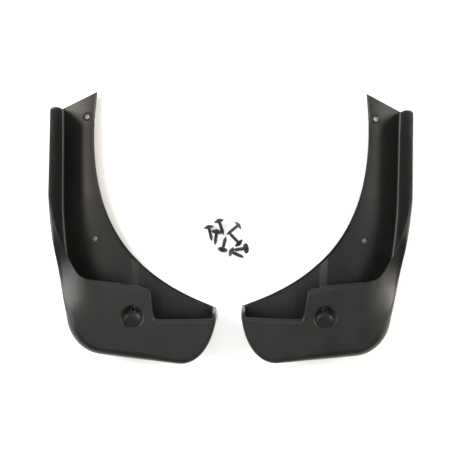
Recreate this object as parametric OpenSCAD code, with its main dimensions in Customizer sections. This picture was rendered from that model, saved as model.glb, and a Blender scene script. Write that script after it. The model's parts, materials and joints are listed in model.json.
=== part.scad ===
// A pair of moulded car mud flaps, lying on their backs, with the eight tapping
// screws that fasten them. Each flap is one open shell: a plate that bolts against
// the wheel arch, an outer wall that turns round the bottom, and a front panel.

/* [Flap] */
// Width of a flap, from the outer wall to the toe
flap_w = 188; // [160:1:220]
// Height of a flap, from the bottom to the tip of the plate
flap_h = 319; // [280:1:360]
// Depth of a flap, from the plate's back to the front panel
flap_d = 50; // [40:1:60]
// Thickness of the moulded skin
skin = 2.5; // [2:0.1:3.2]
// Lean of the long outer wall, from its foot to its rim
wall_lean = 3.5; // [1:0.5:5]
// How far the plate's free edge stands off the floor at its highest
plate_lift = 11; // [6:1:13]

/* [Screw holes] */
// Diameter of the screw holes
hole_d = 5.8; // [5.2:0.1:6.5]
// Diameter of the round seat about each hole in the plate
seat_d = 15; // [12:1:18]
// Height of the seats above the floor
seat_z = 10; // [9.5:0.1:11]

/* [Access cup] */
// Diameter of the cup's mouth in the front panel
cup_d = 26; // [22:0.5:27]
// Depth of the cup at its deep side
cup_depth = 13; // [9:0.5:15]

/* [Pair] */
// Distance between the outer walls of the two flaps
pair_w = 408; // [400:1:440]
// Turn of the right flap from the left one's mirror image
right_turn = 1.7; // [0:0.1:3]

/* [Screws] */
// Diameter of the screw's washer head
head_d = 12.4; // [11:0.1:13]
// Thickness of the washer
washer_t = 1.2; // [1:0.1:1.5]
// Height of the dome on the washer
dome_h = 2.2; // [1.8:0.1:2.6]
// Diameter of the shank
shank_d = 4.6; // [4:0.1:5]
// Length of the shank with its point
shank_l = 18; // [16:0.5:18]
// Width of each slot of the cross recess
recess_w = 1.1; // [0.8:0.1:1.4]

/* [Hidden] */
$fn = 48;

plastic = "#262624";
steel = "#1c1c1e";

// Outline points below are set for this width and height, and scale with them.
base_w = 188;
base_h = 319;
foot_r = 2;        // outer rounding at the foot of the wall
inner_foot_r = 3;  // inner fillet between the wall and the plate
lip = 0.8;         // how far the rim's bead stands in from the wall
rim_r = 0.5;       // rounding of the rim where there is no panel
least_inner_r = 0.4; // least fillet inside the turn from wall to panel
most_round = 0.85; // most of the panel's width that its rounding may take
end_h = 10;        // height of the wall at both of its ends
join = 0.01;       // overshoot of a cut

function at(x, y) = [x * flap_w / base_w, y * flap_h / base_h];
function mix(a, b, f) = a + (b - a) * f;
function cubic(p, t) =
    p[0] * pow(1 - t, 3) + p[1] * 3 * t * pow(1 - t, 2)
    + p[2] * 3 * t * t * (1 - t) + p[3] * pow(t, 3);
function slope(p, t) =
    (p[1] - p[0]) * pow(1 - t, 2) + (p[2] - p[1]) * 2 * t * (1 - t)
    + (p[3] - p[2]) * t * t;
function straight(a, b) = [a, mix(a, b, 1 / 3), mix(a, b, 2 / 3), b];
function outward(p, t) = let (s = slope(p, t)) [s[1], -s[0]] / norm(s);

// The plate's free edge, which follows the wheel arch from the tip to the toe.
arch = [at(46, 319), at(28, 169), at(83.6, 99.4), at(187, 62)];

// The wall's foot in plan, from the top of the long wall, round the bottom, to the toe.
foot_long = straight(at(0.5, 299), at(0.5, 272));
foot_side = straight(at(0.5, 272), at(0, 194));
foot_low = [at(0, 194), at(0, 149), at(7, 104), at(15, 51)];
foot_corner = [at(15, 51), at(18, 30), at(34, 13), at(55, 10.7)];
foot_toe = [at(144, 0.5), at(170, -2), at(184, 26), at(188, 52)];
foot_end = straight(at(188, 52), at(187, 62));
function bottom(x0, x1) = straight(at(x0, bottom_y(x0)), at(x1, bottom_y(x1)));
function bottom_y(x) = mix(10.7, 0.5, (x - 55) / (144 - 55));

// The front panel's edge in plan, with the notch that steps down to the toe.
edge_low = [at(-0.3, 194), at(0, 159), at(17, 118), at(31, 102.5)];
edge_corner = [at(31, 102.5), at(38, 98), at(45, 97), at(56, 96)];
edge_top_1 = straight(at(56, 96), at(86, 92));
edge_top_2 = straight(at(86, 92), at(96, 90.5));
edge_top_3 = straight(at(96, 90.5), at(108, 87));
notch_out = [at(108, 87), at(112, 86), at(113.2, 84), at(113.4, 80)];
notch_side = straight(at(113.4, 80), at(115.8, 60));
notch_in = [at(115.8, 60), at(116.6, 54), at(119, 52), at(123, 52)];
edge_toe_1 = straight(at(123, 52), at(144, 52));
edge_toe_2 = straight(at(144, 52), at(184, 52.4));

// Each stretch of the shell: the wall's foot, the panel's edge (or none, where the
// wall ends in a rim), its span on the arch, the lift of the plate's free edge, the
// radius between wall and panel, the wall's lean, its height, and its number of steps.
toe_lift = 4;
top = flap_d;
stretches = [
    [foot_long, [], [0, 0.08], [5, 8.5], [rim_r, rim_r], [0.5, 0.6], [end_h, top], 6],
    [foot_side, [], [0.08, 0.335], [8.5, plate_lift], [rim_r, rim_r], [0.6, 1], [top, top], 5],
    [foot_low, edge_low, [0.335, 0.53], [plate_lift, 10], [rim_r, 24], [1, 0], [top, top], 9],
    [foot_corner, edge_corner, [0.53, 0.57], [10, 9.5], [24, 16], [0, 0], [top, top], 7],
    [bottom(55, 86), edge_top_1, [0.57, 0.595], [9.5, 9], [16, 12], [0, 0], [top, top], 3],
    [bottom(86, 96), edge_top_2, [0.595, 0.643], [9, toe_lift], [12, 12], [0, 0], [top, top], 3],
    [bottom(96, 109), edge_top_3, [0.643, 0.7], [toe_lift, toe_lift], [12, 11], [0, 0], [top, top], 2],
    [bottom(109, 113), notch_out, [0.7, 0.718], [toe_lift, toe_lift], [11, 11], [0, 0], [top, top], 3],
    [bottom(113, 116), notch_side, [0.718, 0.728], [toe_lift, toe_lift], [11, 11], [0, 0], [top, top], 2],
    [bottom(116, 123), notch_in, [0.728, 0.765], [toe_lift, toe_lift], [11, 10], [0, 0], [top, top], 4],
    [bottom(123, 144), edge_toe_1, [0.765, 0.85], [toe_lift, 3.5], [10, 8], [0, 0], [top, top], 3],
    [foot_toe, edge_toe_2, [0.85, 0.93], [3.5, 3], [8, 3.5], [0, 0], [top, top], 9],
    [foot_end, [], [0.93, 0.962], [3, 2.5], [3.5, rim_r], [0, 0], [top, end_h], 4]
];

// The wall's height along its two ends, which are rounded off.
function end_height(h, f) =
    h[0] < h[1] ? mix(h[0], h[1], sqrt(1 - pow(1 - f, 2)))
    : h[0] > h[1] ? mix(h[0], h[1], f)
    : h[0];

// One cross section: the outer skin's points, then the inner skin's, matched in pairs.
plate_steps = 5;
round_steps = 5;
panel_steps = 3;
function plate_z(lift, f) = lift * sin(90 * f);
function flat_to(p, z) = [p[0], p[1], z];
function section(s, f) = let (
    foot = cubic(s[0], f),
    out = outward(s[0], f),
    edge_on_arch = cubic(arch, mix(s[2][0], s[2][1], f)),
    lift = mix(s[3][0], s[3][1], f),
    h = end_height(s[6], f),
    lean = wall_lean * mix(s[5][0], s[5][1], f) * h / top,
    rim = foot + out * (lean - skin - lip),
    edge = len(s[1]) > 0 ? cubic(s[1], f) : rim,
    width = (foot + out * lean - edge) * out,
    r = min(mix(s[4][0], s[4][1], f), width * most_round),
    inner_r = max(r - skin, least_inner_r),
    outer_turn = foot + out * (lean - r),
    inner_turn = foot + out * (lean - skin - inner_r),
    plate_foot = foot - out * foot_r,
    inner_foot = foot - out * (skin + inner_foot_r)
) [
    concat(
        [for (i = [plate_steps:-1:1]) flat_to(mix(plate_foot, edge_on_arch, i / plate_steps),
            plate_z(lift, i / plate_steps))],
        [for (a = [0:30:90]) flat_to(plate_foot + out * foot_r * sin(a), foot_r * (1 - cos(a)))],
        [for (i = [0:round_steps]) let (a = 90 * i / round_steps)
            flat_to(outer_turn + out * r * cos(a), h - r + r * sin(a))],
        [for (i = [1:panel_steps]) flat_to(mix(outer_turn, edge, i / panel_steps), h)]
    ),
    concat(
        [for (i = [plate_steps:-1:1]) flat_to(mix(inner_foot, edge_on_arch, i / plate_steps),
            skin + plate_z(lift, i / plate_steps))],
        [for (a = [0:30:90]) flat_to(inner_foot + out * inner_foot_r * sin(a),
            skin + inner_foot_r * (1 - cos(a)))],
        [for (i = [0:round_steps]) let (a = 90 * i / round_steps)
            flat_to(inner_turn + out * inner_r * cos(a), h - skin - inner_r + inner_r * sin(a))],
        [for (i = [1:panel_steps]) flat_to(mix(inner_turn, edge, i / panel_steps), h - skin)]
    )
];

sections = concat(
    [for (s = stretches) each [for (i = [0:s[7] - 1]) section(s, i / s[7])]],
    [section(stretches[len(stretches) - 1], 1)]
);

module shell() {
    rows = len(sections);
    across = len(sections[0][0]);
    points = [for (s = sections) each concat(s[0], s[1])];
    function outer(k, j) = k * 2 * across + j;
    function inner(k, j) = outer(k, j) + across;
    function strip(a, b, c, d) = [[a, c, b], [a, d, c]];
    faces = concat(
        [for (k = [0:rows - 2]) for (j = [0:across - 2])
            each strip(outer(k, j), outer(k + 1, j), outer(k + 1, j + 1), outer(k, j + 1))],
        [for (k = [0:rows - 2]) for (j = [0:across - 2])
            each strip(inner(k, j), inner(k, j + 1), inner(k + 1, j + 1), inner(k + 1, j))],
        [for (k = [0:rows - 2])
            each strip(outer(k, 0), inner(k, 0), inner(k + 1, 0), outer(k + 1, 0))],
        [for (k = [0:rows - 2])
            each strip(outer(k, across - 1), outer(k + 1, across - 1),
                inner(k + 1, across - 1), inner(k, across - 1))],
        [for (j = [0:across - 2])
            each strip(outer(0, j), outer(0, j + 1), inner(0, j + 1), inner(0, j))],
        [for (j = [0:across - 2])
            each strip(outer(rows - 1, j), inner(rows - 1, j),
                inner(rows - 1, j + 1), outer(rows - 1, j + 1))]
    );
    polyhedron(points, faces);
}

// Places of the screw holes: near the tip, below the middle, and under the cup.
holes = [at(34, 289), at(43.6, 144), at(92.2, 63.6)];
cup_mouth = at(92.2, 54.8);
seat_foot = 6;    // height at which a seat starts, inside the plate
cup_run = 12;     // from the mouth's middle to where its floor meets the panel's face
cup_room = 80;    // side of the blocks that trim the cup
below_cup = 1;    // how far the cup's cylinder runs on below its sloping floor

// The cup, with a wall added all round: round in plan, with a floor that slopes down
// from the panel's face at its low side.
module cup(wall) {
    deep = cup_depth + 2 * wall + below_cup;
    difference() {
        translate([cup_mouth[0], cup_mouth[1], flap_d - deep])
            cylinder(h = deep + join, d = cup_d + 2 * wall);
        translate([cup_mouth[0], cup_mouth[1] - cup_run, flap_d])
            rotate([-atan2(cup_depth, cup_run + cup_d / 2), 0, 0])
                translate([-cup_room / 2, -cup_room / 2, -cup_room - wall])
                    cube(cup_room);
    }
}

module flap() {
    difference() {
        union() {
            shell();
            for (p = holes)
                translate([p[0], p[1], seat_foot])
                    cylinder(h = seat_z - seat_foot, d = seat_d);
            intersection() {
                cup(skin);
                translate([cup_mouth[0] - cup_room / 2, cup_mouth[1] - cup_room / 2, 0])
                    cube([cup_room, cup_room, flap_d - skin / 2]);
            }
        }
        cup(0);
        for (p = holes)
            translate([p[0], p[1], -join])
                cylinder(h = flap_d + 2 * join, d = hole_d);
    }
}

// The pair is placed so that the middle of its floor plan is the origin.
turn_about = at(281, 156);
left_plan = [for (s = sections) for (side = s) for (p = side) [p[0], p[1]]];
right_plan = [for (p = left_plan) let (q = [pair_w - p[0], p[1]] - turn_about)
    turn_about + [
        q[0] * cos(right_turn) + q[1] * sin(right_turn),
        q[1] * cos(right_turn) - q[0] * sin(right_turn)
    ]];
function middle_of(values) = (min(values) + max(values)) / 2;
middle = [for (i = [0, 1]) middle_of([for (p = concat(left_plan, right_plan)) p[i]])];

module left_flap() {
    color(plastic)
        translate([-middle[0], -middle[1], 0])
            flap();
}

module right_flap() {
    color(plastic)
        translate([turn_about[0] - middle[0], turn_about[1] - middle[1], 0])
            rotate([0, 0, -right_turn])
                translate([pair_w - turn_about[0], -turn_about[1], 0])
                    mirror([1, 0, 0])
                        flap();
}

// One screw, with the washer's upper face at the origin and its point along +Z.
point_l = 5;      // length of the tapered point
point_r = 0.2;
dome_r = 5;       // radius of the dome where it meets the washer
recess_l = 5;     // length of each slot of the cross recess
recess_deep = 1.6;

module screw() {
    ball = (dome_r * dome_r + dome_h * dome_h) / (2 * dome_h);
    difference() {
        union() {
            cylinder(h = washer_t, d = head_d);
            intersection() {
                translate([0, 0, ball - dome_h])
                    sphere(r = ball);
                translate([-head_d / 2, -head_d / 2, -dome_h])
                    cube([head_d, head_d, dome_h + washer_t / 2]);
            }
            translate([0, 0, washer_t])
                cylinder(h = shank_l - point_l, d = shank_d);
            translate([0, 0, washer_t + shank_l - point_l])
                cylinder(h = point_l, r1 = shank_d / 2, r2 = point_r);
        }
        for (turn = [0, 90])
            rotate([0, 0, turn])
                translate([-recess_l / 2, -recess_w / 2, -dome_h - join])
                    cube([recess_l, recess_w, recess_deep + join]);
    }
}

// How each screw of the loose pile lies: the head's place and height, the way its
// point faces in plan, and how steeply it dips.
pile_at = [204, 154];
pile = [
    [-25.5, 4, 6.4, -78, 17],
    [-15.8, -1.5, 8.5, -98, 23],
    [-13.5, 11.5, 6.4, -71, 17],
    [-9, -24, 9.5, 76, 28],
    [10, 6, 6.6, -140, 7],
    [11, -16, 6.4, 134, 17],
    [19.5, -22, 5.6, 186, -30],
    [1, -26, 6.4, -24, 17]
];

module pile_screw(lie) {
    color(steel)
        translate([pile_at[0] - middle[0] + lie[0], pile_at[1] - middle[1] + lie[1], lie[2]])
            rotate([0, 90 + lie[4], lie[3]])
                screw();
}

left_flap();
right_flap();
for (i = [1:len(pile)])
    pile_screw(pile[i - 1]);
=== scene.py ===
import json
import math

import bpy
import numpy as np
from mathutils import Matrix, Vector
from mathutils.bvhtree import BVHTree

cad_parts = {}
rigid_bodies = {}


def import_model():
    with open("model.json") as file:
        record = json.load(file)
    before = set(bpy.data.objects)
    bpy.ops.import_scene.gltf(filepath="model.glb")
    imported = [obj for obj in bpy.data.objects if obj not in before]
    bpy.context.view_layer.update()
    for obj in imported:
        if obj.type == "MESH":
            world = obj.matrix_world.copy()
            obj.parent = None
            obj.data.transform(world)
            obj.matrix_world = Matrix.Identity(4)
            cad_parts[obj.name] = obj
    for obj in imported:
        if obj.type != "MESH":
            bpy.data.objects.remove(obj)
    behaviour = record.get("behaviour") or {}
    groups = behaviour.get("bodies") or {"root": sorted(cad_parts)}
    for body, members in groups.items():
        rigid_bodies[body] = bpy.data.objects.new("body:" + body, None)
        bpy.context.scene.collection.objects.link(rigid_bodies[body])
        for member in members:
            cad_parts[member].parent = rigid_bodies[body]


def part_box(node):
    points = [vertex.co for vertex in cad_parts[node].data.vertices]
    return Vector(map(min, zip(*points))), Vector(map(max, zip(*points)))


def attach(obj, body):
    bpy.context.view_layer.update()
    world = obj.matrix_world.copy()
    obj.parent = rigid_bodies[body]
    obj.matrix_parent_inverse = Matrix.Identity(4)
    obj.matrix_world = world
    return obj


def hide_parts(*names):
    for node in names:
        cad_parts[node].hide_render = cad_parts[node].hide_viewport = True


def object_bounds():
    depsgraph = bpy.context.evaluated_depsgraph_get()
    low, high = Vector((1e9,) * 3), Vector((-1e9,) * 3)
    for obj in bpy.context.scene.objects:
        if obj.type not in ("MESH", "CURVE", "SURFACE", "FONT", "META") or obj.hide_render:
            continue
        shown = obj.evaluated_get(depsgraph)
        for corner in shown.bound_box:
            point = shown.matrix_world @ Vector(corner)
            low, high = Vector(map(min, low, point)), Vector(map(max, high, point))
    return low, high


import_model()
cad_lo, cad_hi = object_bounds()
middle = (cad_lo + cad_hi) / 2

# ---------------------------------------------------------------------------
# The flap. Lengths are in millimetres in the flap's own plan until it is placed:
# x runs from the outer wall to the toe, y up the wall, z up from the floor.

SKIN = 2.5
TOP = 50.0
WALL_LEAN = 3.5
FOOT_R = 2.0
INNER_FOOT_R = 3.0
LIP = 0.8
RIM_R = 0.5
END_H = 10.0
RISE_SHARE = 1 / 3
FALL_POWER = 5
TOE_LIFT = 5.4
RIGHT_TURN = math.radians(1.7)


def line(a, b):
    """A straight stretch, as the four points of a cubic."""
    a, b = np.array(a, float), np.array(b, float)
    return [a, a + (b - a) / 3, a + (b - a) * 2 / 3, b]


def cubic(p, t):
    """Points on a Bezier cubic."""
    p = np.array(p, float)
    t = np.asarray(t)[..., None]
    return (p[0] * (1 - t) ** 3 + 3 * p[1] * t * (1 - t) ** 2
            + 3 * p[2] * t ** 2 * (1 - t) + p[3] * t ** 3)


def slope(p, t):
    """The direction a Bezier cubic runs in."""
    p = np.array(p, float)
    t = np.asarray(t)[..., None]
    return (p[1] - p[0]) * (1 - t) ** 2 + 2 * (p[2] - p[1]) * t * (1 - t) + (p[3] - p[2]) * t ** 2


def bottom(x0, x1):
    """A stretch of the straight foot along the flap's bottom."""
    def y(x):
        return 10.7 + (0.5 - 10.7) * (x - 55) / (144 - 55)
    return line((x0, y(x0)), (x1, y(x1)))


ARCH = [(46, 319), (28, 169), (83.6, 99.4), (187, 62)]

# Foot of the wall, edge of the panel, span on the arch, lift of the plate, radius
# between wall and panel, lean of the wall, height of the wall, number of stations.
STRETCHES = [
    (line((0.5, 299), (0.5, 272)), None, (0, 0.08), (5, 8.5), (RIM_R, RIM_R), (0.5, 0.6), (END_H, TOP), 26),
    (line((0.5, 272), (0, 194)), None, (0.08, 0.335), (8.5, 11), (RIM_R, RIM_R), (0.6, 1), (TOP, TOP), 44),
    ([(0, 194), (0, 149), (7, 104), (15, 51)], [(-0.3, 194), (0, 159), (17, 118), (31, 102.5)],
     (0.335, 0.53), (11, 10), (RIM_R, 24), (1, 0), (TOP, TOP), 76),
    ([(15, 51), (18, 30), (34, 13), (55, 10.7)], [(31, 102.5), (38, 98), (45, 97), (56, 96)],
     (0.53, 0.57), (10, 9.5), (24, 16), (0, 0), (TOP, TOP), 36),
    (bottom(55, 86), line((56, 96), (86, 92)), (0.57, 0.595), (9.5, 9), (16, 12), (0, 0), (TOP, TOP), 20),
    (bottom(86, 96), line((86, 92), (96, 90.5)), (0.595, 0.643), (9, TOE_LIFT), (12, 12), (0, 0),
     (TOP, TOP), 10),
    (bottom(96, 109), line((96, 90.5), (108, 87)), (0.643, 0.7), (TOE_LIFT, TOE_LIFT), (12, 11), (0, 0),
     (TOP, TOP), 10),
    (bottom(109, 113), [(108, 87), (112, 86), (113.2, 84), (113.4, 80)], (0.7, 0.718),
     (TOE_LIFT, TOE_LIFT), (11, 11), (0, 0), (TOP, TOP), 10),
    (bottom(113, 116), line((113.4, 80), (115.8, 60)), (0.718, 0.728), (TOE_LIFT, TOE_LIFT), (11, 11),
     (0, 0), (TOP, TOP), 10),
    (bottom(116, 123), [(115.8, 60), (116.6, 54), (119, 52), (123, 52)], (0.728, 0.765),
     (TOE_LIFT, TOE_LIFT), (11, 10), (0, 0), (TOP, TOP), 12),
    (bottom(123, 144), line((123, 52), (144, 52)), (0.765, 0.85), (TOE_LIFT, 3.5), (10, 8), (0, 0),
     (TOP, TOP), 14),
    ([(144, 0.5), (170, -2), (184, 26), (188, 52)], line((144, 52), (184, 52.4)), (0.85, 0.93), (3.5, 3),
     (8, 3.5), (0, 0), (TOP, TOP), 50),
    (line((188, 52), (187, 62)), None, (0.93, 0.962), (3, 2.5), (3.5, RIM_R), (0, 0), (TOP, END_H), 14),
]

HOLES = [(34, 289), (43.6, 144), (92.2, 63.6)]
HOLE_R = 2.9
SEATS = [6.2, 7.5, 7.5]
SEAT_FOOT = 6.0
PAD_H = 0.1
CUP = np.array((92.2, 54.8))
CUP_R = 13.0
CUP_RUN = 12.0
CUP_FLOOR = 10.4
CUP_SIDE = 1.9
CUP_REACH = 1.35
CUP_BLEND = 5
CUP_SEAT = (4.0, 4.8)
CUP_WAYS = (0.01, 0.025, 0.045, 0.07, 0.1, 0.14, 0.19, 0.25, 0.32, 0.4, 0.49, 0.58, 0.67, 0.75, 0.81,
            0.86, 0.9, 0.95, 1)

# The turn between wall and panel is tighter than the table's radii, and the bottom
# corner slopes down towards it over a wide stretch of the panel.
TURN_SHARE = 0.75
TURN_ROOM = 0.85
LEAST_INNER_R = 0.4
CORNER_TOP = (150, 108)
CORNER_TOE = (78, 48)
CORNER_LOW = (54, 98)
CORNER_LEAST = 0.1
SLOPE = 0.5
SLOPE_FLAT = 16.0
SLOPE_EASE = 26.0
SLOPE_BLUR = 4.0

PLATE_N = 28
FOOT_N = 6
WALL_N = 8
TURN_N = 14
NEAR_EDGE = np.array((0.5, 1.1, 1.8, 2.6, 3.2, 3.6, 3.9, 4.2, 4.5, 4.9, 5.6, 6.8))
PANEL_N = 16
BAND_ROOM = 9
BAND_DROP = 0.5
BAND_SIDE = (3.3, 4.3)
BAND_FADE = (184, 176)
GROOVE_DROP = 0.22
GROOVE_AT = 4.25
GROOVE_W = 0.38
EDGE_R = 0.7
END_R = 0.35


def smoothstep(a, b, x):
    """0 at a and 1 at b, with an eased run between them; a may be the larger."""
    t = np.clip((x - a) / (b - a), 0, 1)
    return t * t * (3 - 2 * t)


def blur(values, width):
    """The values smoothed along the stations, with the two ends kept."""
    n = int(3 * width)
    weights = np.exp(-0.5 * (np.arange(-n, n + 1) / width) ** 2)
    weights /= weights.sum()
    flat = values.reshape(len(values), -1)
    first, last = flat[:1], flat[-1:]
    padded = np.concatenate([2 * first - flat[n:0:-1], flat, 2 * last - flat[-2:-n - 2:-1]])
    out = np.stack([np.convolve(c, weights, "valid") for c in padded.T], 1)
    return out.reshape(values.shape)


def stations(ragged):
    """Everything that varies from one cross section to the next, as arrays."""
    rows = []
    for i, (foot, edge, span, lift, r, lean, h, n) in enumerate(STRETCHES):
        last = i == len(STRETCHES) - 1
        t = np.arange(n + (1 if last else 0)) / n
        t = t ** 2 if i == 0 else t
        risen = np.sqrt(1 - (1 - np.minimum(1, t / RISE_SHARE)) ** 2)
        fallen = 1 - np.sqrt(1 - t ** FALL_POWER)
        heights = h[0] + (h[1] - h[0]) * (risen if h[0] < h[1] else fallen)
        f = cubic(foot, t)
        s = slope(foot, t)
        out = np.stack([s[:, 1], -s[:, 0]], 1) / np.linalg.norm(s, axis=1)[:, None]
        on_arch = cubic(ARCH, span[0] + (span[1] - span[0]) * t)
        leaning = WALL_LEAN * (lean[0] + (lean[1] - lean[0]) * t) * heights / TOP
        rim = f + out * (leaning - SKIN - LIP)[:, None]
        edges = rim if edge is None else cubic(edge, t)
        rows.append(dict(
            foot=f, out=out, arch=on_arch, lift=lift[0] + (lift[1] - lift[0]) * t,
            r=r[0] + (r[1] - r[0]) * t, lean=leaning, h=heights, edge=edges,
        ))
    s = {k: np.concatenate([row[k] for row in rows]) for k in rows[0]}
    s["out"] = blur(s["out"], 1.5)
    s["out"] /= np.linalg.norm(s["out"], axis=1)[:, None]
    s["r"] = TURN_SHARE * blur(s["r"], 3)
    s["lean"] = blur(s["lean"], 2)
    s["edge"] = ragged(blur(s["edge"], 1.0))
    return s


def profile(s):
    """The outer and inner skins, station by point by xyz, and where the panel's points begin."""
    def flat(p, z):
        return np.concatenate([p, np.broadcast_to(np.asarray(z), p.shape[:-1])[..., None]], -1)

    def along(a, b, f):
        return a[:, None, :] + (b - a)[:, None, :] * np.asarray(f).reshape(1, -1, 1)

    foot, out, arch, edge = s["foot"], s["out"], s["arch"], s["edge"]
    lift, lean, h = s["lift"][:, None], s["lean"][:, None], s["h"][:, None]
    width = ((foot + out * lean - edge) * out).sum(1)
    r = np.minimum(s["r"], width * TURN_ROOM)[:, None]
    inner_r = np.maximum(r - SKIN, LEAST_INNER_R)
    skins = []
    for side in (0, 1):
        thick = SKIN * side
        fr = (FOOT_R, INNER_FOOT_R)[side]
        tr = (r, inner_r)[side]
        plate_foot = foot - out * (fr + thick)
        turn = foot + out * (lean - thick - tr)
        reach = np.linalg.norm(arch - plate_foot, axis=1)
        f = np.arange(PLATE_N, 0, -1) / PLATE_N
        f = f[None, :] * (1 - EDGE_R / reach)[:, None]
        plate = plate_foot[:, None, :] + (arch - plate_foot)[:, None, :] * f[..., None]
        plate = flat(plate, thick + lift * np.sin(f * math.pi / 2))
        a = np.linspace(0, math.pi / 2, FOOT_N + 1)
        rounding = flat(plate_foot[:, None] + out[:, None] * (fr * np.sin(a))[None, :, None],
                        (thick + fr * (1 - np.cos(a)))[None, :])
        w = np.arange(1, WALL_N) / WALL_N
        z0, z1 = thick + fr, h - thick - tr
        p0, p1 = foot - out * thick, foot + out * (lean - thick)
        wall = flat(along(p0, p1, w), z0 + (z1 - z0) * w[None, :])
        a = np.linspace(0, math.pi / 2, TURN_N + 1)[None, :]
        arc = flat(turn[:, None] + out[:, None] * (tr * np.cos(a))[..., None], z1 + tr * np.sin(a))
        span = np.linalg.norm(edge - turn, axis=1)[:, None]
        squeeze = np.minimum(1, span / BAND_ROOM)
        near = NEAR_EDGE[None, :] * squeeze
        far = near[:, -1:] + (span - near[:, -1:]) * (np.arange(1, PANEL_N) / PANEL_N)[None, :]
        from_edge = np.concatenate([far[:, ::-1], near[:, ::-1]], 1)
        towards = (turn - edge) / np.maximum(span, 1e-6)
        panel = flat(edge[:, None] + towards[:, None] * from_edge[..., None], h - thick)
        skin = np.concatenate([plate, rounding, wall, arc, panel], 1)
        if side == 0:
            s["towards"] = towards
            s["span"] = span[:, 0]
            panel_at = plate.shape[1] + rounding.shape[1] + wall.shape[1] + arc.shape[1]
            arc_at = panel_at - arc.shape[1]
            band = squeeze * s["band"][:, None]
            drop = band * BAND_DROP * (1 - smoothstep(*BAND_SIDE, from_edge / squeeze))
            drop += band * GROOVE_DROP * np.exp(-((from_edge / squeeze - GROOVE_AT) / GROOVE_W) ** 2)
            skin[:, panel_at:, 2] -= drop
            s["edge_drop"] = (band * BAND_DROP)[:, 0]
        skins.append(skin)
    sink(s, skins, arc_at)
    return skins[0], skins[1], panel_at


def sink(s, skins, arc_at):
    """Rounds the panel off more widely at the flap's bottom corner."""
    border = s["foot"] + s["out"] * s["lean"][:, None]
    weight = smoothstep(*CORNER_TOP, border[:, 1]) * smoothstep(*CORNER_TOE, border[:, 0])
    weight *= CORNER_LEAST + (1 - CORNER_LEAST) * smoothstep(*CORNER_LOW, border[:, 1])
    step = np.linalg.norm(np.gradient(border, axis=0), axis=1)

    def fall(plan):
        flat = plan.reshape(-1, 2)
        far = np.empty(len(flat))
        share = np.empty(len(flat))
        for i in range(0, len(flat), 4000):
            gap = np.linalg.norm(flat[i:i + 4000, None] - border[None], axis=2)
            least = gap.min(1)
            pull = np.exp((least[:, None] - gap) / SLOPE_BLUR) * step
            total = pull.sum(1)
            straight = np.sqrt(2 * math.pi * np.maximum(least, 2) * SLOPE_BLUR)
            far[i:i + 4000] = least - SLOPE_BLUR * np.log(total / straight)
            share[i:i + 4000] = (pull * weight).sum(1) / total
        t = np.clip((far - SLOPE_FLAT) / SLOPE_EASE, 0, 1)
        run = np.maximum(0, SLOPE_FLAT - np.maximum(far, 3)) + SLOPE_EASE * (0.5 - t + t ** 3 - t ** 4 / 2)
        return (SLOPE * run * share).reshape(plan.shape[:-1])

    def extra(plan, already):
        drop = fall(plan)
        return (np.maximum(already, 0) ** 3 + drop ** 3) ** (1 / 3) - np.maximum(already, 0)

    for side, skin in enumerate(skins):
        part = skin[:, arc_at:]
        part[..., 2] -= extra(part[..., :2], s["h"][:, None] - SKIN * side - part[..., 2])
    s["edge_sink"] = extra(s["edge"], np.zeros(len(s["edge"])))


class Shell:
    """Vertices and faces, gathered before they become one mesh."""

    def __init__(self):
        self.points, self.faces, self.count = [], [], 0

    def add(self, points):
        points = np.asarray(points, float).reshape(-1, 3)
        first = self.count
        self.points.append(points)
        self.count += len(points)
        return first + np.arange(len(points))

    def bridge(self, a, b):
        """Quads between two rings of the same length."""
        for i in range(len(a)):
            j = (i + 1) % len(a)
            self.faces.append((a[i], a[j], b[j], b[i]))

    def mesh(self, name):
        data = bpy.data.meshes.new(name)
        data.from_pydata(np.concatenate(self.points).tolist(), [], [tuple(map(int, f)) for f in self.faces])
        data.validate()
        data.polygons.foreach_set("use_smooth", np.ones(len(data.polygons), bool))
        return data


def quarter(n):
    """Angles over a quarter turn."""
    return np.linspace(0, math.pi / 2, n + 1)


def closed_sections(s, outer, inner):
    """Each section as one closed loop, with its two free edges rounded off."""
    edge, towards = s["edge"], s["towards"]
    away = -towards
    z_top = (s["h"] - s["edge_drop"] - s["edge_sink"])[:, None]
    z_low = (s["h"] - SKIN - s["edge_sink"])[:, None]
    er = np.minimum(EDGE_R, s["span"] * 0.5)[:, None]
    steps = []
    for a in quarter(3):
        c = er * (1 - math.sin(a))
        z = z_top - er * (1 - math.cos(a))
        steps.append(np.concatenate([edge - away * c, z], 1))
    for a in quarter(3):
        c = er * (1 - math.cos(a))
        z = z_low + er * (1 - math.sin(a))
        steps.append(np.concatenate([edge - away * c, z], 1))
    panel_round = np.stack(steps, 1)
    arch = s["arch"]
    plan = arch - inner[:, 0, :2]
    away = plan / np.linalg.norm(plan, axis=1)[:, None]
    low = s["lift"][:, None]
    high = low + SKIN
    steps = []
    for a in quarter(3):
        c = EDGE_R * (1 - math.sin(a))
        steps.append(np.concatenate([arch - away * c, high - EDGE_R * (1 - math.cos(a))], 1))
    for a in quarter(3):
        c = EDGE_R * (1 - math.cos(a))
        steps.append(np.concatenate([arch - away * c, low + EDGE_R * (1 - math.sin(a))], 1))
    arch_round = np.stack(steps, 1)
    return np.concatenate([outer, panel_round, inner[:, ::-1], arch_round], 1)


def surface(points):
    """A height lookup on one skin, for the rims of the holes and the cup."""
    k, m = points.shape[:2]
    index = np.arange(k * m).reshape(k, m)
    faces = np.stack([index[:-1, :-1], index[1:, :-1], index[1:, 1:], index[:-1, 1:]], -1).reshape(-1, 4)
    tree = BVHTree.FromPolygons(points.reshape(-1, 3).tolist(), faces.tolist())

    def height(p):
        hit = tree.ray_cast(Vector((p[0], p[1], 200)), Vector((0, 0, -1)))[0]
        return hit.z if hit else None
    return height


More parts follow.
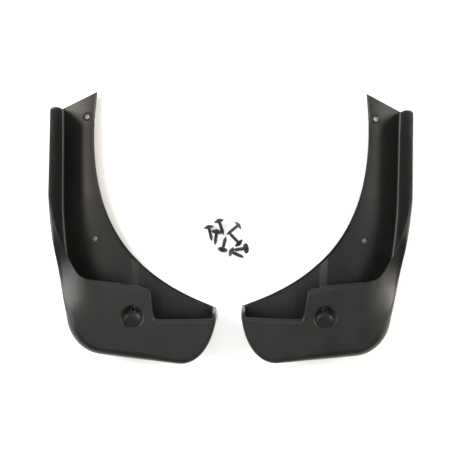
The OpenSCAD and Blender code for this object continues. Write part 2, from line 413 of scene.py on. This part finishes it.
def window(points, centre, radius):
    """The block of cells of a skin that holds the whole circle."""
    near = np.linalg.norm(points[..., :2] - np.asarray(centre), axis=-1) < radius
    k, m = np.nonzero(near)
    return max(0, k.min() - 1), k.max() + 1, max(0, m.min() - 1), m.max() + 1


def match(a, b):
    """Two blocks widened to the same number of cells each way."""
    dk = max(a[1] - a[0], b[1] - b[0])
    dm = max(a[3] - a[2], b[3] - b[2])

    def widen(w):
        k0 = max(0, w[0] - (dk - (w[1] - w[0])) // 2)
        m0 = max(0, w[2] - (dm - (w[3] - w[2])) // 2)
        return k0, k0 + dk, m0, m0 + dm
    return widen(a), widen(b)


def rim_of(block):
    """The block's border, in order, as (station, point) pairs."""
    k0, k1, m0, m1 = block
    border = [(k0, m) for m in range(m0, m1)] + [(k, m1) for k in range(k0, k1)]
    border += [(k1, m) for m in range(m1, m0, -1)] + [(k, m0) for k in range(k1, k0, -1)]
    return border


def angles_of(points, centre):
    """The angles of points round a centre, running on without a jump."""
    d = points[:, :2] - np.asarray(centre)
    return np.unwrap(np.arctan2(d[:, 1], d[:, 0]))


def cup_depth(p):
    """Depth of the cup's face below the panel, at points measured from the mouth's middle."""
    x, y = p[:, 0], p[:, 1]
    run = np.clip((y + CUP_RUN) / CUP_RUN / CUP_REACH, 0.001, 1)
    floor = CUP_FLOOR * np.sin(run * math.pi / 2) * (1 - 0.2 * (x / CUP_R) ** 2)
    side = CUP_SIDE * np.maximum(0.005, CUP_R - np.linalg.norm(p, axis=1))
    bowl = (floor ** -CUP_BLEND + side ** -CUP_BLEND) ** (-1 / CUP_BLEND)
    to_hole = np.linalg.norm(p - (np.array(HOLES[2]) - CUP), axis=1)
    seat = CUP_FLOOR * (1 - smoothstep(*CUP_SEAT, to_hole))
    return np.maximum(bowl, seat)


def cup_ring(w, wall, angles):
    """A ring from the mouth (w 0) towards the hole (w 1), on the cup's face (wall 0) or back (wall 1)."""
    hole = np.array(HOLES[2]) - CUP
    around = np.stack([np.cos(angles), np.sin(angles)], 1)
    mouth = CUP_R + SKIN * wall
    face = hole * w + around * (CUP_R + (HOLE_R - CUP_R) * w)
    wide = hole * w + around * (mouth + (HOLE_R - mouth) * w)
    z = TOP - cup_depth(face) - SKIN * wall
    return np.concatenate([wide + CUP, z[:, None]], 1)


def circle(centre, radius, angles, z):
    """Points round a centre at the given angles, at one height or at one height each."""
    ring = np.empty((len(angles), 3))
    ring[:, 0] = centre[0] + radius * np.cos(angles)
    ring[:, 1] = centre[1] + radius * np.sin(angles)
    ring[:, 2] = z
    return ring


def on_sheet(centre, radius, angles, height, lift):
    """A circle laid on a skin, and lifted off it."""
    ring = circle(centre, radius, angles, 0)
    ring[:, 2] = [height(p) + lift for p in ring]
    return ring


class Flap:
    """One flap's closed mesh: the shell's sections, its screw holes, its cup and its ends."""

    def __init__(self, ragged):
        s = stations(ragged)
        s["band"] = smoothstep(*BAND_FADE, s["edge"][:, 0])
        self.outer, self.inner, self.panel_from = profile(s)
        self.loops = closed_sections(s, self.outer, self.inner)
        self.count = self.outer.shape[1]
        self.total = self.loops.shape[1]
        self.rounds = self.total // 2 - self.count
        self.shell = Shell()
        self.ids = self.shell.add(self.loops).reshape(self.loops.shape[:2])
        self.skipped = set()
        for centre, seat in zip(HOLES, SEATS):
            self.screw_hole(centre, seat)
        self.cup()
        self.skins()
        self.end_cap(0, -1)
        self.end_cap(len(self.loops) - 1, 1)

    def place_in_loop(self, side, j):
        """Where point j of the outer skin (side 0) or inner skin (side 1) stands in the loop."""
        return j if side == 0 else self.count + self.rounds + (self.count - 1 - j)

    def cut(self, side, block):
        """Leaves a block of cells out of a skin, and returns its border's vertices and points."""
        skin = (self.outer, self.inner)[side]
        k0, k1, j0, j1 = block
        for k in range(k0, k1):
            for j in range(j0, j1):
                self.skipped.add((k, self.place_in_loop(side, j + side)))
        border = rim_of(block)
        vertices = np.array([self.ids[k, self.place_in_loop(side, j)] for k, j in border])
        return vertices, np.array([skin[k, j] for k, j in border])

    def loft(self, start, stop, rings):
        """Joins one border to another through the rings between them."""
        for ring in rings:
            new = self.shell.add(ring)
            self.shell.bridge(start, new)
            start = new
        self.shell.bridge(start, stop)

    def screw_hole(self, centre, seat):
        """A hole through the plate, with a low pad round it on top and a boss beneath."""
        plate_outer, plate_inner = self.outer[:, :PLATE_N], self.inner[:, :PLATE_N]
        under, over = surface(plate_outer), surface(plate_inner)
        above, below = match(window(plate_inner, centre, seat + 1), window(plate_outer, centre, seat + 1))
        top_ids, top_at = self.cut(1, above)
        low_ids, low_at = self.cut(0, below)
        ta, tb = angles_of(top_at, centre), angles_of(low_at, centre)
        tb += 2 * math.pi * round(float((ta - tb).mean()) / (2 * math.pi))
        pad = ((seat + 0.7, 0), (seat + 0.3, 0), (seat - 0.6, 0.08), (seat - 1.4, PAD_H), (5, PAD_H),
               (HOLE_R + 0.6, PAD_H), (HOLE_R + 0.2, PAD_H / 2), (HOLE_R, -0.15))
        rings = [on_sheet(centre, radius, ta, over, lift) for radius, lift in pad]
        for w in (1 / 3, 2 / 3, 1):
            bore = on_sheet(centre, HOLE_R, ta * (1 - w) + tb * w, over, -0.1)
            bore[:, 2] = bore[:, 2] * (1 - w) + (SEAT_FOOT + 0.2) * w
            rings.append(bore)
        boss = ((HOLE_R + 0.2, 0), (5, 0), (seat - 0.4, 0), (seat, 0.4))
        rings += [circle(centre, radius, tb, SEAT_FOOT + up) for radius, up in boss]
        neck = ((seat, 0.5), (seat + 0.4, 0.1), (seat + 0.7, 0))
        rings += [on_sheet(centre, radius, tb, under, -drop) for radius, drop in neck]
        self.loft(top_ids, low_ids, rings)

    def cup(self):
        """The access cup: from the panel's face down to its hole, and back up its underside."""
        panel = self.panel_from
        k0, k1, j0, j1 = window(self.outer[:, panel:], CUP, CUP_R + 3)
        block = (k0, k1, j0 + panel, j1 + panel)
        top_ids, top_at = self.cut(0, block)
        low_ids, low_at = self.cut(1, block)
        ta, tb = angles_of(top_at, CUP), angles_of(low_at, CUP)
        rings = [circle(CUP, CUP_R + out, ta, TOP - drop) for out, drop in ((2, 0), (0.9, 0), (0.35, 0.06))]
        rings += [cup_ring(w, 0, ta) for w in CUP_WAYS]
        rings += [rings[-1] - (0, 0, drop) for drop in (0.5, 1.6)]
        rings += [cup_ring(w, 1, tb) for w in CUP_WAYS[::-1]]
        rings.append(circle(CUP, CUP_R + SKIN + 0.4, tb, TOP - SKIN))
        self.loft(top_ids, low_ids, rings)

    def skins(self):
        """The faces between one section and the next, but for the cells left out."""
        ids = self.ids
        for k in range(len(ids) - 1):
            for m in range(self.total):
                if (k, m) not in self.skipped:
                    n = (m + 1) % self.total
                    self.shell.faces.append((ids[k, m], ids[k, n], ids[k + 1, n], ids[k + 1, m]))

    def partners(self):
        """For each point of a section, the one across the shell's thickness from it."""
        count, rounds = self.count, self.rounds
        partner = np.empty(self.total, int)
        for j in range(count):
            across = self.place_in_loop(1, j)
            partner[j] = across
            partner[across] = j
        for i in range(rounds):
            partner[count + i] = count + rounds - 1 - i
            partner[2 * count + rounds + i] = 2 * (count + rounds) - 1 - i
        return partner

    def end_cap(self, k, side):
        """Closes one end of the shell, with its border slightly rounded."""
        ring, partner = self.loops[k], self.partners()
        towards = ring[partner] - ring
        length = np.linalg.norm(towards, axis=1)[:, None]
        towards = towards / np.maximum(length, 1e-6)
        step = ring - self.loops[k - side]
        step = step / np.maximum(np.linalg.norm(step, axis=1)[:, None], 1e-6)
        last = self.ids[k]
        for a in (math.pi / 4, math.pi / 2):
            inset = np.minimum(END_R * (1 - math.cos(a)), length * 0.4)
            new = self.shell.add(ring + towards * inset + step * END_R * math.sin(a))
            self.shell.bridge(last, new)
            last = new
        for j in range(self.count - 1):
            self.shell.faces.append((last[j], last[j + 1], last[partner[j + 1]], last[partner[j]]))
        for first in (self.count - 1, 2 * self.count + self.rounds - 1):
            self.shell.faces.append(tuple(last[(first + i) % self.total] for i in range(self.rounds + 2)))


def waves(x, seed):
    """A quiet, seeded wander made of a few sines."""
    rng = np.random.default_rng(seed)
    total = np.zeros_like(x)
    for period, height in ((23, 0.5), (11, 0.3), (5.3, 0.22), (2.9, 0.12)):
        total += height * np.sin(2 * math.pi * (x / period + rng.random()))
    return total


def left_edge(edge):
    """The left flap's edge is trimmed by hand along a stretch of the panel."""
    edge = edge.copy()
    x = edge[:, 0]
    cut = smoothstep(60, 70, x) * (1 - smoothstep(96, 104, x)) * (edge[:, 1] > 80)
    edge[:, 1] += 0.75 * cut * waves(x, 3)
    return edge


def right_edge(edge):
    """The right flap's edge is clean, with a small nick beside the step."""
    edge = edge.copy()
    nick = np.exp(-((edge[:, 0] - 101) / 2.2) ** 4) * (edge[:, 1] > 80)
    edge[:, 1] -= 0.8 * nick
    return edge


def placed(shell, name, mirrored):
    """The shell's mesh, put in the box of the CAD node of the same flap."""
    p = np.concatenate(shell.points)
    if mirrored:
        p = p * (-1, 1, 1)
        c, n = math.cos(-RIGHT_TURN), math.sin(-RIGHT_TURN)
        p[:, :2] = p[:, :2] @ np.array(((c, n), (-n, c)))
    lo, hi = (np.array(v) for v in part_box(name))
    fit = (hi - lo) / (p.max(0) - p.min(0))
    p = lo + (p - p.min(0)) * fit
    shell.points = [p]
    data = shell.mesh(name + "_moulding")
    obj = bpy.data.objects.new(name + "_moulding", data)
    bpy.context.scene.collection.objects.link(obj)
    return obj


def face_outward(obj):
    """Turns every face's normal out of the closed mesh."""
    bpy.context.view_layer.objects.active = obj
    obj.select_set(True)
    bpy.ops.object.mode_set(mode="EDIT")
    bpy.ops.mesh.select_all(action="SELECT")
    bpy.ops.mesh.normals_make_consistent(inside=False)
    bpy.ops.object.mode_set(mode="OBJECT")
    obj.select_set(False)


# ---------------------------------------------------------------------------
# Finishes.

class Finish:
    """A material's nodes, with short ways to add the usual ones."""

    def __init__(self, name):
        self.material = bpy.data.materials.new(name)
        self.material.use_nodes = True
        self.tree = self.material.node_tree
        self.shader = self.tree.nodes["Principled BSDF"]
        self.where = self.tree.nodes.new("ShaderNodeTexCoord").outputs["Object"]

    def join(self, source, target):
        self.tree.links.new(source, target)

    def noise(self, scale, detail=3.0, rough=0.55, stretch=(1, 1, 1)):
        """Noise of so many cells a metre, stretched along the axes."""
        place = self.tree.nodes.new("ShaderNodeMapping")
        place.inputs["Scale"].default_value = stretch
        self.join(self.where, place.inputs["Vector"])
        node = self.tree.nodes.new("ShaderNodeTexNoise")
        node.inputs["Scale"].default_value = scale
        node.inputs["Detail"].default_value = detail
        node.inputs["Roughness"].default_value = rough
        self.join(place.outputs["Vector"], node.inputs["Vector"])
        return node.outputs["Fac"]

    def spread(self, source, low, high, a, b):
        """The source's span from low to high, spread from a to b."""
        node = self.tree.nodes.new("ShaderNodeMapRange")
        for key, value in (("From Min", low), ("From Max", high), ("To Min", a), ("To Max", b)):
            node.inputs[key].default_value = value
        self.join(source, node.inputs["Value"])
        return node.outputs["Result"]

    def maths(self, kind, one, two):
        node = self.tree.nodes.new("ShaderNodeMath")
        node.operation = kind
        for i, value in enumerate((one, two)):
            if isinstance(value, (int, float)):
                node.inputs[i].default_value = value
            else:
                self.join(value, node.inputs[i])
        return node.outputs["Value"]

    def blend(self, factor, one, two):
        node = self.tree.nodes.new("ShaderNodeMix")
        node.data_type = "RGBA"
        self.join(factor, node.inputs["Factor"])
        for socket, colour in (("A", one), ("B", two)):
            target = [i for i in node.inputs if i.name == socket and i.type == "RGBA"][0]
            if isinstance(colour, tuple):
                target.default_value = (*colour, 1)
            else:
                self.join(colour, target)
        return [o for o in node.outputs if o.type == "RGBA"][0]

    def edges(self, low, high):
        """How worn a corner is, from how sharply the surface turns there."""
        node = self.tree.nodes.new("ShaderNodeNewGeometry")
        return self.spread(node.outputs["Pointiness"], low, high, 0, 1)

    def bump(self, layers):
        """Relief from (height, distance in metres, strength) layers."""
        last = None
        for height, distance, strength in layers:
            node = self.tree.nodes.new("ShaderNodeBump")
            node.inputs["Distance"].default_value = distance
            node.inputs["Strength"].default_value = strength
            self.join(height, node.inputs["Height"])
            if last is not None:
                self.join(last, node.inputs["Normal"])
            last = node.outputs["Normal"]
        self.join(last, self.shader.inputs["Normal"])

    def paint(self, colour, rough):
        self.join(colour, self.shader.inputs["Base Color"])
        self.join(rough, self.shader.inputs["Roughness"])


def moulded_plastic():
    """Black polypropylene: a fine grain, uneven sheen, faint scuffs and paler worn corners."""
    f = Finish("black_plastic")
    mottle = f.noise(34, 4)
    dust = f.spread(f.noise(160, 6, 0.7), 0.56, 0.8, 0, 1)
    scuff = f.spread(f.noise(90, 5, 0.6, (1, 0.07, 1)), 0.6, 0.78, 0, 1)
    worn = f.maths("MULTIPLY", f.edges(0.53, 0.62), f.spread(f.noise(120, 4), 0.4, 0.62, 0.25, 1))
    colour = f.blend(f.spread(mottle, 0.3, 0.7, 0, 1), (0.006, 0.006, 0.0058), (0.0085, 0.0084, 0.0081))
    colour = f.blend(f.maths("MULTIPLY", dust, 0.3), colour, (0.024, 0.023, 0.0215))
    colour = f.blend(f.maths("MULTIPLY", worn, 0.25), colour, (0.03, 0.03, 0.029))
    rough = f.spread(mottle, 0.3, 0.7, 0.36, 0.44)
    rough = f.maths("ADD", rough, f.maths("MULTIPLY", scuff, 0.06))
    rough = f.maths("SUBTRACT", rough, f.maths("MULTIPLY", worn, 0.05))
    f.paint(colour, rough)
    f.shader.inputs["Specular IOR Level"].default_value = 0.4
    f.bump([(f.noise(26, 2), 0.0006, 0.25), (f.noise(1500, 3), 0.00004, 0.3), (scuff, 0.00003, 0.3)])
    return f.material


def phosphated_steel():
    """Black phosphated steel: mottled, a little brighter where the coat has rubbed off."""
    f = Finish("black_steel")
    mottle = f.spread(f.noise(420, 5, 0.65), 0.35, 0.65, 0, 1)
    worn = f.maths("MULTIPLY", f.edges(0.54, 0.7), f.spread(f.noise(700, 3), 0.4, 0.6, 0.1, 1))
    colour = f.blend(mottle, (0.006, 0.006, 0.0063), (0.017, 0.0165, 0.016))
    colour = f.blend(f.maths("MULTIPLY", worn, 0.6), colour, (0.16, 0.155, 0.15))
    rough = f.maths("SUBTRACT", f.spread(mottle, 0, 1, 0.24, 0.38), f.maths("MULTIPLY", worn, 0.05))
    f.paint(colour, rough)
    f.shader.inputs["Metallic"].default_value = 0.15
    f.bump([(f.noise(2600, 3), 0.00003, 0.4), (f.noise(500, 3), 0.00006, 0.3)])
    return f.material


def studio_floor():
    """Matt white paper, very slightly uneven."""
    f = Finish("floor_white")
    f.paint(f.blend(f.noise(9, 3), (0.88, 0.88, 0.88), (0.92, 0.92, 0.92)),
            f.spread(f.noise(30, 3), 0.3, 0.7, 0.85, 0.95))
    f.bump([(f.noise(900, 2), 0.00003, 0.1)])
    return f.material


black = moulded_plastic()
steel = phosphated_steel()

for name, mirrored, ragged in (("left_flap", False, left_edge), ("right_flap", True, right_edge)):
    obj = placed(Flap(ragged).shell, name, mirrored)
    face_outward(obj)
    obj.data.materials.append(black)
    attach(obj, name)
    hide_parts(name)

# The screws. Each is modelled with its washer's upper face at the origin and its
# point along +z, then laid as the CAD screw of the same name lies.

WASHER_R = 6.2
WASHER_T = 1.2
DOME_R = 5.0
DOME_H = 2.2
SHANK_L = 18.0
POINT_L = 5.0
CREST_R = 2.3
CORE_R = 1.85
PITCH = 1.8
RECESS = (5.0, 1.1, 1.6)
SCREW_SCALE = 0.000998
SCREW_SPIN = 35

# Each screw's turn on the floor and the dip of its point, in degrees.
LIES = {1: (-78, 17), 2: (-98, 23), 3: (-71, 17), 4: (76, 28),
        5: (-140, 7), 6: (134, 17), 7: (186, -30), 8: (-24, 17)}


def screw_body():
    """Head and threaded shank as one closed lathe form whose thread climbs as it turns."""
    around = 40
    turn = np.arange(around) * 2 * math.pi / around
    shell = Shell()

    def ring(radius, z):
        return shell.add(circle((0, 0), radius, turn, z))
    ball = (DOME_R ** 2 + DOME_H ** 2) / (2 * DOME_H)
    half = math.asin(DOME_R / ball)
    rows = []
    for a in np.linspace(0.04, 1, 12):
        rows.append((ball * math.sin(a * half), ball - DOME_H - ball * math.cos(a * half)))
    rows += [(5.12, 0.03), (5.9, 0.08), (6.1, 0.2), (WASHER_R, 0.4), (WASHER_R, 0.85), (6.08, 1.08),
             (5.8, WASHER_T), (3.2, WASHER_T), (2.5, WASHER_T + 0.1), (2.0, WASHER_T + 0.45)]
    rings = [ring(radius, z) for radius, z in rows]
    tip = WASHER_T + SHANK_L
    for z in np.arange(WASHER_T + 0.75, tip - 0.2, PITCH / 10):
        phase = (z / PITCH - turn / (2 * math.pi)) % 1
        tooth = np.clip(1 - np.abs(phase - 0.5) / 0.24, 0, 1)
        taper = np.clip((tip - z) / POINT_L, 0, 1) ** 0.85 if z > tip - POINT_L else 1.0
        begin = smoothstep(WASHER_T + 0.8, WASHER_T + 2.4, z)
        radius = taper * (CORE_R + (CREST_R - CORE_R) * tooth * begin)
        rings.append(ring(radius, z))
    for one, two in zip(rings[:-1], rings[1:]):
        shell.bridge(list(one), list(two))
    top = shell.add([(0, 0, -DOME_H)])[0]
    point = shell.add([(0, 0, tip)])[0]
    for i in range(around):
        j = (i + 1) % around
        shell.faces.append((top, rings[0][j], rings[0][i]))
        shell.faces.append((point, rings[-1][i], rings[-1][j]))
    return shell


def recess_cutter():
    """A cross with slightly drawn-in walls, standing out of the dome."""
    length, width, deep = RECESS
    shell = Shell()
    rings = []
    for up, grow in ((-1, 0.1), (0, 0.0), (deep * 0.75, -0.08), (deep, -0.35)):
        z = up - DOME_H
        a, b = length / 2 + grow, width / 2 + grow * 0.5
        corners = [(a, -b), (a, b), (b, b), (b, a), (-b, a), (-b, b), (-a, b), (-a, -b), (-b, -b),
                   (-b, -a), (b, -a), (b, -b)]
        rings.append(shell.add([(x, y, z) for x, y in corners]))
    for one, two in zip(rings[:-1], rings[1:]):
        shell.bridge(list(one), list(two))
    shell.faces.append(tuple(rings[0][::-1]))
    shell.faces.append(tuple(rings[-1]))
    return shell


def loose(shell, name):
    """A shell as an object of its own, in millimetres."""
    obj = bpy.data.objects.new(name, shell.mesh(name))
    bpy.context.scene.collection.objects.link(obj)
    face_outward(obj)
    return obj


def cut_screw():
    """The screw's mesh with the cross recess cut into its dome."""
    body, cutter = loose(screw_body(), "screw_form"), loose(recess_cutter(), "recess_form")
    cut = body.modifiers.new("recess", "BOOLEAN")
    cut.operation = "DIFFERENCE"
    cut.solver = "EXACT"
    cut.object = cutter
    shape = body.evaluated_get(bpy.context.evaluated_depsgraph_get())
    data = bpy.data.meshes.new_from_object(shape)
    for form in (body, cutter):
        bpy.data.objects.remove(form)
    data.set_sharp_from_angle(angle=math.radians(38))
    return data


screw_shape = cut_screw()
for i, (turn, dip) in LIES.items():
    name = f"screw_{i}"
    data = screw_shape.copy()
    spin = Matrix.Rotation(math.radians(SCREW_SPIN * i), 4, "Z")
    lay = Matrix.Rotation(math.radians(turn), 4, "Z") @ Matrix.Rotation(math.radians(90 + dip), 4, "Y")
    data.transform(lay @ spin @ Matrix.Scale(SCREW_SCALE, 4))
    points = np.array([v.co for v in data.vertices])
    lo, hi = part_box(name)
    data.transform(Matrix.Translation((lo + hi) / 2 - Vector((points.min(0) + points.max(0)) / 2)))
    obj = bpy.data.objects.new(name + "_threaded", data)
    bpy.context.scene.collection.objects.link(obj)
    obj.data.materials.clear()
    obj.data.materials.append(steel)
    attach(obj, name)
    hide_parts(name)

# ---------------------------------------------------------------------------
# Floor, light and camera.

bpy.ops.mesh.primitive_plane_add(size=6, location=(middle.x, middle.y, cad_lo.z))
floor = bpy.context.object
floor.name = "floor"
floor.data.materials.append(studio_floor())


def area_light(name, place, aim, width, height, power, colour):
    """A rectangular light at a place, facing its aim."""
    data = bpy.data.lights.new(name, "AREA")
    data.shape = "RECTANGLE"
    data.size = width
    data.size_y = height
    data.energy = power
    data.color = colour
    lamp = bpy.data.objects.new(name, data)
    bpy.context.scene.collection.objects.link(lamp)
    lamp.location = place
    lamp.rotation_euler = (Vector(aim) - Vector(place)).to_track_quat("-Z", "Y").to_euler()
    return lamp


def soft_panel(name, azimuth, elevation, distance, width, height, radiance, colour, glossy=True):
    """A large soft light that faces the frame's origin; azimuth is turned from +X."""
    a, e = math.radians(azimuth), math.radians(elevation)
    place = Vector((math.cos(e) * math.cos(a), math.cos(e) * math.sin(a), math.sin(e))) * distance
    lamp = area_light(name, place, (0, 0, 0), width, height, radiance * math.pi * width * height, colour)
    lamp.visible_camera = False
    lamp.visible_glossy = glossy
    return lamp


soft_panel("overhead", 135, 70, 2.3, 2.4, 2.4, 0.76, (0.96, 0.98, 1.0))
soft_panel("north", 92, 30, 2.4, 1.8, 1.2, 0.75, (0.88, 0.94, 1.0))
soft_panel("upper_right", 6, 60, 2.2, 0.7, 0.6, 2.9, (0.95, 0.98, 1.0))
soft_panel("window_left", 172, 18, 2.0, 1.4, 0.7, 12.0, (0.9, 0.96, 1.0))
soft_panel("window_right", 10, 18, 2.0, 1.1, 0.7, 15.0, (1.0, 0.95, 0.87))
soft_panel("beige_left", 160, 44, 2.0, 0.8, 0.5, 20.0, (1.0, 0.91, 0.77))
soft_panel("beige_right", 20, 44, 2.0, 0.8, 0.5, 9.5, (1.0, 0.93, 0.79))
soft_panel("key", 150, 38, 2.4, 0.8, 0.6, 22.0, (0.62, 0.83, 1.0), glossy=False)
soft_panel("sky", 90, 89.9, 2.5, 2.6, 2.6, 0.45, (1.0, 0.86, 0.7), glossy=False)
soft_panel("near_fill", 0, 25, 0.85, 0.5, 0.25, 4.0, (0.9, 0.96, 1.0), glossy=False)
soft_panel("front_fill", 272, 32, 0.9, 0.35, 0.25, 7.0, (1.0, 0.94, 0.84), glossy=False)
gap_fill = area_light("gap_fill", (0, -0.1, 0.75), (0, -0.1, 0), 0.14, 0.22, 0.075, (0.94, 0.97, 1.0))
gap_fill.data.spread = math.radians(20)
gap_fill.visible_camera = False
gap_fill.visible_glossy = False

world = bpy.data.worlds.new("studio")
bpy.context.scene.world = world
world.use_nodes = True
world.node_tree.nodes["Background"].inputs["Color"].default_value = (1.0, 0.94, 0.86, 1)
world.node_tree.nodes["Background"].inputs["Strength"].default_value = 0.12

bpy.context.scene.view_settings.view_transform = "Standard"

CAMERA_SHIFT = (-0.0008, -0.00575)
CAMERA_UP = 1.0

camera_data = bpy.data.cameras.new("camera")
camera = bpy.data.objects.new("camera", camera_data)
bpy.context.scene.collection.objects.link(camera)
camera_data.sensor_width = 36
camera_data.lens = 65.2
camera.location = (middle.x + CAMERA_SHIFT[0], middle.y + CAMERA_SHIFT[1], CAMERA_UP)
bpy.context.scene.camera = camera
